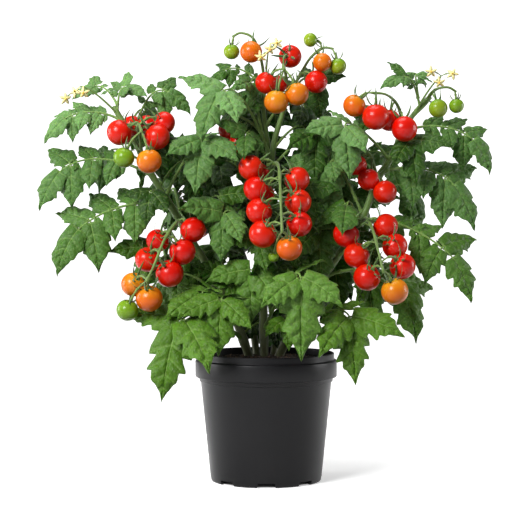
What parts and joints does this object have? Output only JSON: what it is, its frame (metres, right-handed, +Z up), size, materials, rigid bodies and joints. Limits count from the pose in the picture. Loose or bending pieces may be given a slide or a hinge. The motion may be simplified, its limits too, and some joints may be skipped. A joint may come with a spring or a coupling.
{
  "type": "cherry tomato plant in a pot",
  "caption": "Bushy cherry tomato plant with arching compound leaves and trusses of ripening round fruit, growing in a round moulded nursery pot.",
  "frame": {"origin": "centre of the pot's foot, on the surface that the pot stands on", "axes": "+Z up along the pot's axis, -Y towards the front of the plant, +X to its right as seen from the front"},
  "size_m": [0.5094, 0.3314, 0.5089],
  "materials": {
    "pot": "satin",
    "potting_mix": "matte",
    "stem": "matte",
    "leaf": "satin",
    "fruit_red": "gloss",
    "fruit_orange": "gloss",
    "flower": "matte"
  },
  "bodies": {
    "root": {"pot": "pot", "potting_mix": "potting_mix", "stem_back_left": "stem", "stem_back_right": "stem", "stem_centre": "stem", "stem_left": "stem", "stem_right": "stem", "fruit_back_left_red_1": "fruit_red", "fruit_back_right_red_1": "fruit_red", "fruit_centre_orange_1": "fruit_orange", "fruit_centre_red_1": "fruit_red", "fruit_centre_red_2": "fruit_red", "fruit_inner_left_red_1": "fruit_red", "fruit_lower_left_orange_1": "fruit_orange", "fruit_lower_left_red_1": "fruit_red", "fruit_lower_left_red_2": "fruit_red", "fruit_lower_right_orange_1": "fruit_orange", "fruit_lower_right_red_1": "fruit_red", "fruit_lower_right_red_2": "fruit_red", "fruit_top_centre_orange_1": "fruit_orange", "fruit_top_centre_red_1": "fruit_red", "fruit_under_right_red_1": "fruit_red", "fruit_upper_left_red_1": "fruit_red", "fruit_upper_right_red_1": "fruit_red", "flowers_left": "flower", "flowers_right": "flower", "flowers_top": "flower", "leaf_back_centre": "leaf", "leaf_back_left": "leaf", "leaf_back_left_high": "leaf", "leaf_back_left_inner": "leaf", "leaf_back_left_low": "leaf", "leaf_back_right": "leaf", "leaf_back_right_high": "leaf", "leaf_back_right_inner": "leaf", "leaf_back_right_low": "leaf", "leaf_behind_left": "leaf", "leaf_centre_right": "leaf", "leaf_high_left": "leaf", "leaf_high_right": "leaf", "leaf_inner_left": "leaf", "leaf_inner_right": "leaf", "leaf_inner_right_high": "leaf", "leaf_left_low": "leaf", "leaf_left_middle": "leaf", "leaf_left_shoulder": "leaf", "leaf_left_tip": "leaf", "leaf_left_top": "leaf", "leaf_low_front": "leaf", "leaf_low_left": "leaf", "leaf_low_right": "leaf", "leaf_middle_left": "leaf", "leaf_right_low": "leaf", "leaf_right_middle": "leaf", "leaf_right_tip": "leaf", "leaf_right_top": "leaf", "leaf_right_under": "leaf", "leaf_top_left": "leaf", "leaf_top_right_inner": "leaf", "leaf_under_left": "leaf"}
  },
  "joints": []
}
